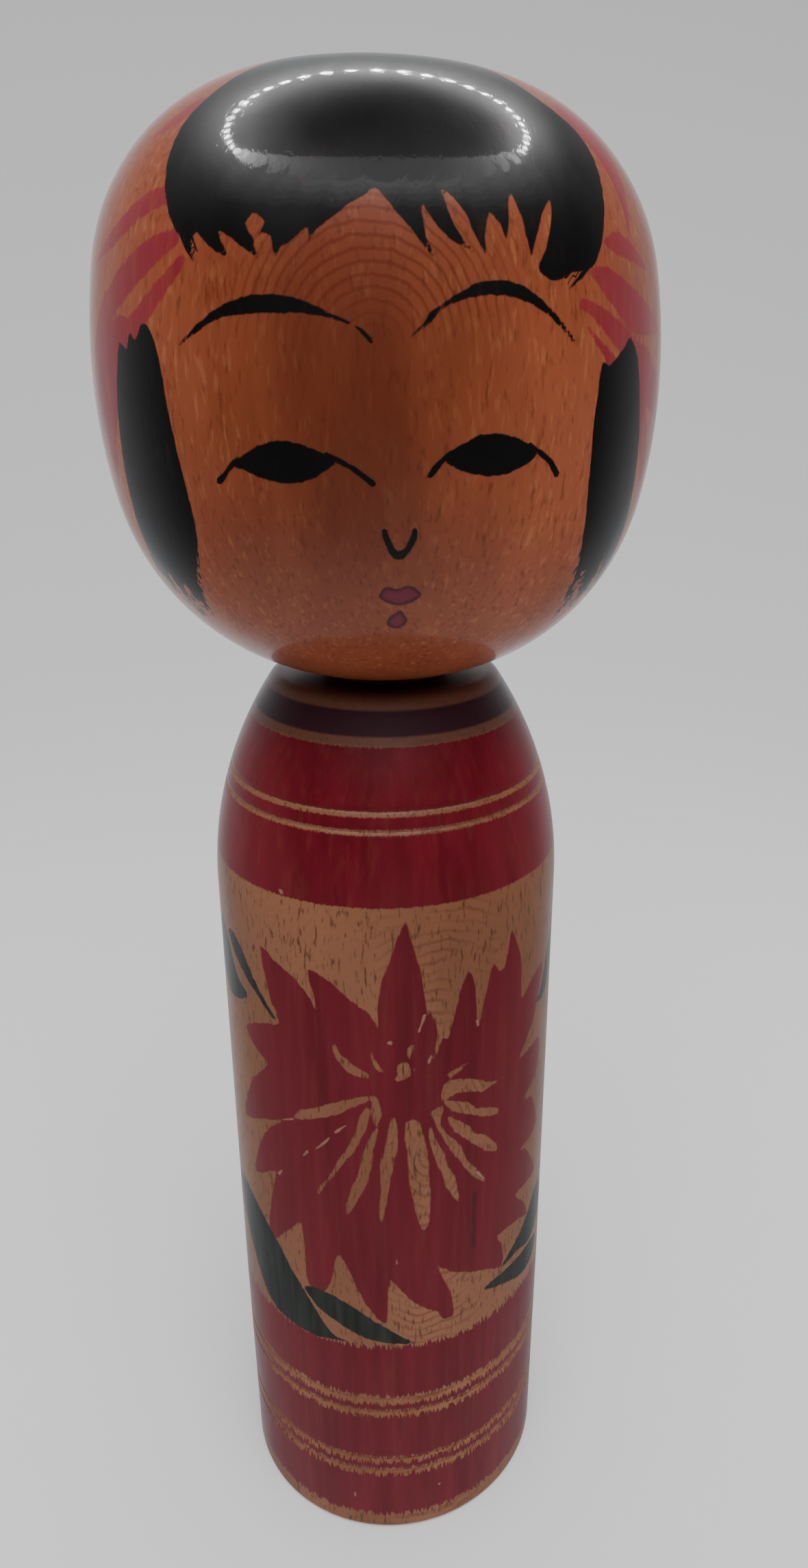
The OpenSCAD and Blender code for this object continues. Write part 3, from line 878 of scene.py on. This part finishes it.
# %% Mix the colours
HEAD_WOOD = (0.232, 0.053, 0.022), (0.350, 0.089, 0.038)
# The last colour below is painted shade for the middle of the face.
HEAD_FLECK, HEAD_RING, FACE_SHADE = (0.105, 0.022, 0.008), (0.130, 0.020, 0.008), (0.108, 0.021, 0.009)
HEAD_PALE, HEAD_STREAK = (0.46, 0.16, 0.07), (0.38, 0.11, 0.045)
BODY_WOOD = (0.182, 0.070, 0.033), (0.262, 0.108, 0.054)
# The last colour below is painted shade for the neck under the head.
BODY_FLECK, BODY_RING, NECK_SHADE = (0.090, 0.030, 0.012), (0.130, 0.042, 0.016), (0.110, 0.045, 0.034)
INK = (0.0055, 0.0050, 0.0055)
RIBBON_RED = (0.20, 0.015, 0.026), (0.30, 0.028, 0.042)
LIP_RED = (0.050, 0.006, 0.012), (0.150, 0.013, 0.030)
PETAL_RED = (0.102, 0.0036, 0.0095), (0.145, 0.0066, 0.0155)
# The colour below is a paler red for a painted sheen and side light at the body's sides.
SIDE_LIT_RED = (0.205, 0.018, 0.026)
LEAF_GREEN = (0.007, 0.012, 0.010), (0.020, 0.029, 0.025)
PURPLE, SCRATCH, SCUFF = (0.030, 0.009, 0.016), (0.34, 0.19, 0.13), (0.030, 0.008, 0.012)
print("the palette is mixed")

# %% [markdown]
# ## The head's finish
# The wood comes first, with its flecks, a band of painted shade down the middle of the face, where
# the front of the head is lit less, and the rings of the forehead. Then come the ribbons, the hair and
# the face, and the lips. A dry brush leaves streaks at the end of a stroke, so black runs out in
# upright streaks at the foot of the side locks. Over it all lies a hard wax polish, a clear coat in the
# shader.

# %% The wood of the head
head_finish, shader = plain_material("painted_head", (0.2, 0.06, 0.02), 0.42)
tree = head_finish.node_tree
z = position(tree, "Z")
cloudy = spread(tree, noise(tree, (14, 14, 22), 3), 0.35, 0.65)
wood = blend(tree, cloudy, *HEAD_WOOD)
wood = blend(tree, flecks(tree, 0.22, 0.9, 0.50), wood, HEAD_FLECK)
pale = spread(tree, noise(tree, (0.25, 0.25, 1.1), 2, 3), 0.56, 0.70, 0, 0.50)
wood = blend(tree, pale, wood, HEAD_PALE)
streak = spread(tree, noise(tree, (1.0, 1.0, 18), 3, 3), 0.5, 0.75, 0, 0.3)
wood = blend(tree, streak, wood, HEAD_STREAK)
# Painted shade: a darker band down the middle of the face, fainter at the chin and the forehead.
sway = spread(tree, noise(tree, (3, 3, 14), 3, 61), 0.3, 0.7, -3, 3)
face_shade = maths(tree, "ADD", off_centre(tree, -4.0), sway)
face_shade = spread(tree, face_shade, 2.0, 15.0, 0.82, 0.0)
face_shade = maths(tree, "MULTIPLY", face_shade, spread(tree, z, 126, 141, 0.25, 1.0))
face_shade = maths(tree, "MULTIPLY", face_shade, spread(tree, z, 157, 170, 1.0, 0.45))
wood = blend(tree, maths(tree, "MULTIPLY", face_shade, at_front(tree)), wood, FACE_SHADE)
rings, reach = growth_rings(tree, (-2.5, 0, 156), (1, 0, 0.9), 0.85, 0.5)
rings = maths(tree, "MULTIPLY", rings, spread(tree, reach, 9, 15, 0.6, 0.1))
rings = maths(tree, "MULTIPLY", rings, spread(tree, z, 156, 160))
wood = blend(tree, rings, wood, HEAD_RING)

# %% The painting of the head
ribbon = wobble(tree, layer(tree, "red"), 0.16, (0.35, 0.35, 1.6), 11)
dry = spread(tree, noise(tree, (0.5, 0.5, 5), 3, 13), 0.42, 0.68, 0.95, 0.70)
red_cover = maths(tree, "MULTIPLY", mask(tree, maths(tree, "SUBTRACT", ribbon, 0.08), 0.1), dry)
red = blend(tree, noise(tree, (2, 2, 9), 3, 17), *RIBBON_RED)
painted = blend(tree, red_cover, wood, red)
run_out = spread(tree, z, 131.0, 139.0, 1.1, 0.0)
streaks = spread(tree, noise(tree, (0.22, 0.22, 7), 2, 19), 0.40, 0.60, -1.0, 0.3)
black = maths(tree, "ADD", layer(tree, "black"), maths(tree, "MULTIPLY", run_out, streaks))
black = mask(tree, wobble(tree, black, 0.09, (0.3, 0.3, 1.0), 23), 0.07)
thin = maths(tree, "SUBTRACT", layer(tree, "line_half"), maths(tree, "ABSOLUTE", layer(tree, "line")))
thin = mask(tree, wobble(tree, thin, 0.07, (0.4, 0.4, 0.6), 29), 0.07)
ink = maths(tree, "MAXIMUM", black, thin)
worn = spread(tree, noise(tree, (0.5, 0.5, 2.2), 3, 31), 0.62, 0.80, 1.0, 0.94)
painted = blend(tree, maths(tree, "MULTIPLY", ink, worn), painted, INK)
lip_depth = wobble(tree, layer(tree, "lips"), 0.08, (0.4, 0.4, 0.5), 37)
inner = mask(tree, maths(tree, "SUBTRACT", lip_depth, 0.28), 0.2)
lip = blend(tree, inner, *LIP_RED)
painted = blend(tree, mask(tree, lip_depth, 0.08), painted, lip)
feed(tree, shader.inputs["Base Color"], painted)

# %% Wax the head
shader.inputs["Specular IOR Level"].default_value = 0.25
shader.inputs["Coat Weight"].default_value = 0.45
shader.inputs["Coat Roughness"].default_value = 0.06
feed(tree, shader.inputs["Roughness"], spread(tree, noise(tree, (3, 3, 6), 3, 41), 0.3, 0.7, 0.30, 0.45))
bump = tree.nodes.new("ShaderNodeBump")
bump.inputs["Strength"].default_value = 0.32
bump.inputs["Distance"].default_value = 0.012 * MM
fine = maths(tree, "ADD", flecks(tree, 0.22, 0.9, -0.8), noise(tree, (0.3, 0.3, 0.4), 2, 71))
feed(tree, bump.inputs["Height"], maths(tree, "ADD", fine, ink))
tree.links.new(bump.outputs[0], shader.inputs["Normal"])
tree.links.new(bump.outputs[0], shader.inputs["Coat Normal"])
head.data.materials.append(head_finish)
print("the head's finish has", len(tree.nodes), "nodes")

# %% [markdown]
# ## The body's finish
# Rings of colour are painted while the body turns, so a ring is a range of heights. The scored lines
# stay bare, and the paint creeps into the grain beside them like the teeth of a comb.

# %% The wood of the body
body_finish, shader = plain_material("painted_body", (0.4, 0.25, 0.14), 0.45)
tree = body_finish.node_tree
z = position(tree, "Z")
cloudy = spread(tree, noise(tree, (10, 10, 26), 3), 0.35, 0.65)
wood = blend(tree, cloudy, *BODY_WOOD)
rings, _ = growth_rings(tree, (3.5, 0, 66), (1.7, 0, 1), 1.3, 2.0)
patchy = spread(tree, noise(tree, (2.5, 2.5, 2.0), 3, 67), 0.40, 0.58, 0.1, 1.0)
figure = spread(tree, off_centre(tree, 4.5), 3.5, 8.0, 0.65, 0.08)
rings = maths(tree, "MULTIPLY", maths(tree, "MULTIPLY", rings, patchy), figure)
wood = blend(tree, rings, wood, BODY_RING)
wood = blend(tree, flecks(tree, 0.17, 0.75, 0.88), wood, BODY_FLECK)
# Painted shade: the wood under the head, from just below the purple ring upwards, is darker.
wood = blend(tree, spread(tree, z, 115.9, 116.2, 0, 0.75), wood, NECK_SHADE)

# %% The red of the body
RED_RINGS = [(2.8, 10.75), (11.9, 13.1), (14.1, 22.0), (23.1, 24.3), (25.8, 34.75), (99.15, 107.15),
             (107.75, 109.05), (109.6, 116.0)]
comb = spread(tree, noise(tree, (0.15, 0.15, 3), 1, 5), 0.38, 0.62, -0.42, 0.42)
teeth = maths(tree, "MULTIPLY", comb, spread(tree, z, 60.0, 70.0, 1.0, 0.15))
z_comb = maths(tree, "ADD", z, teeth)
ring_depth = -9.0
for low, high in RED_RINGS:
    above, below = maths(tree, "SUBTRACT", z_comb, low), maths(tree, "SUBTRACT", high, z_comb)
    ring_depth = maths(tree, "MAXIMUM", ring_depth, maths(tree, "MINIMUM", above, below))
flower = wobble(tree, layer(tree, "red"), 0.15, (0.28, 0.28, 1.4), 11)
red_depth = maths(tree, "MAXIMUM", flower, ring_depth)
thin_paint = spread(tree, noise(tree, (0.4, 0.4, 7), 3, 13), 0.50, 0.80, 1.0, 0.88)
red_cover = maths(tree, "MULTIPLY", mask(tree, red_depth, 0.08), thin_paint)
streaky = spread(tree, noise(tree, (1.2, 1.2, 16), 3, 17), 0.3, 0.7)
red = blend(tree, streaky, *PETAL_RED)
# Painted sheen and side light: the red turns paler towards both sides of the body.
side_lit = spread(tree, off_centre(tree, 0.0), 9.0, 21.0, 0, 0.55)
red = blend(tree, side_lit, red, SIDE_LIT_RED)
painted = blend(tree, red_cover, wood, red)

# %% The leaves, the scratches and the purple ring
leaf = wobble(tree, layer(tree, "green"), 0.13, (0.28, 0.28, 1.2), 47)
brushed = spread(tree, noise(tree, (0.5, 0.5, 5), 3, 53), 0.35, 0.7)
green = blend(tree, brushed, *LEAF_GREEN)
painted = blend(tree, maths(tree, "MULTIPLY", mask(tree, leaf, 0.08), 0.97), painted, green)
line = maths(tree, "SUBTRACT", layer(tree, "line_half"), maths(tree, "ABSOLUTE", layer(tree, "line")))
scraped = mask(tree, wobble(tree, line, 0.08, (0.4, 0.4, 0.8), 43), 0.08)
painted = blend(tree, maths(tree, "MULTIPLY", scraped, 0.62), painted, SCRATCH)
above_middle = maths(tree, "ABSOLUTE", maths(tree, "SUBTRACT", z, 53.0))
scuff = maths(tree, "SUBTRACT", 0.22, off_centre(tree, 9.2))
scuff = maths(tree, "MINIMUM", scuff, maths(tree, "SUBTRACT", 4.5, above_middle))
scuff = mask(tree, wobble(tree, scuff, 0.2, (0.4, 0.4, 1.5), 59), 0.15)
scuff = maths(tree, "MULTIPLY", scuff, maths(tree, "MULTIPLY", at_front(tree), 0.6))
painted = blend(tree, scuff, painted, SCUFF)
purple = maths(tree, "MINIMUM", maths(tree, "SUBTRACT", z, 117.0), maths(tree, "SUBTRACT", 119.5, z))
painted = blend(tree, maths(tree, "MULTIPLY", mask(tree, purple, 0.12), 0.93), painted, PURPLE)
feed(tree, shader.inputs["Base Color"], painted)

# %% Wax the body
shader.inputs["Specular IOR Level"].default_value = 0.2
shader.inputs["Coat Weight"].default_value = 0.7
shader.inputs["Coat IOR"].default_value = 1.3
shader.inputs["Coat Roughness"].default_value = 0.28
feed(tree, shader.inputs["Roughness"], spread(tree, noise(tree, (2, 2, 6), 3, 41), 0.3, 0.7, 0.38, 0.50))
bump = tree.nodes.new("ShaderNodeBump")
bump.inputs["Strength"].default_value = 0.35
bump.inputs["Distance"].default_value = 0.04 * MM
relief = maths(tree, "ADD", flecks(tree, 0.17, 0.75, -1.0), mask(tree, red_depth, 0.1))
feed(tree, bump.inputs["Height"], relief)
tree.links.new(bump.outputs[0], shader.inputs["Normal"])
body.data.materials.append(body_finish)
print("the body's finish has", len(tree.nodes), "nodes")
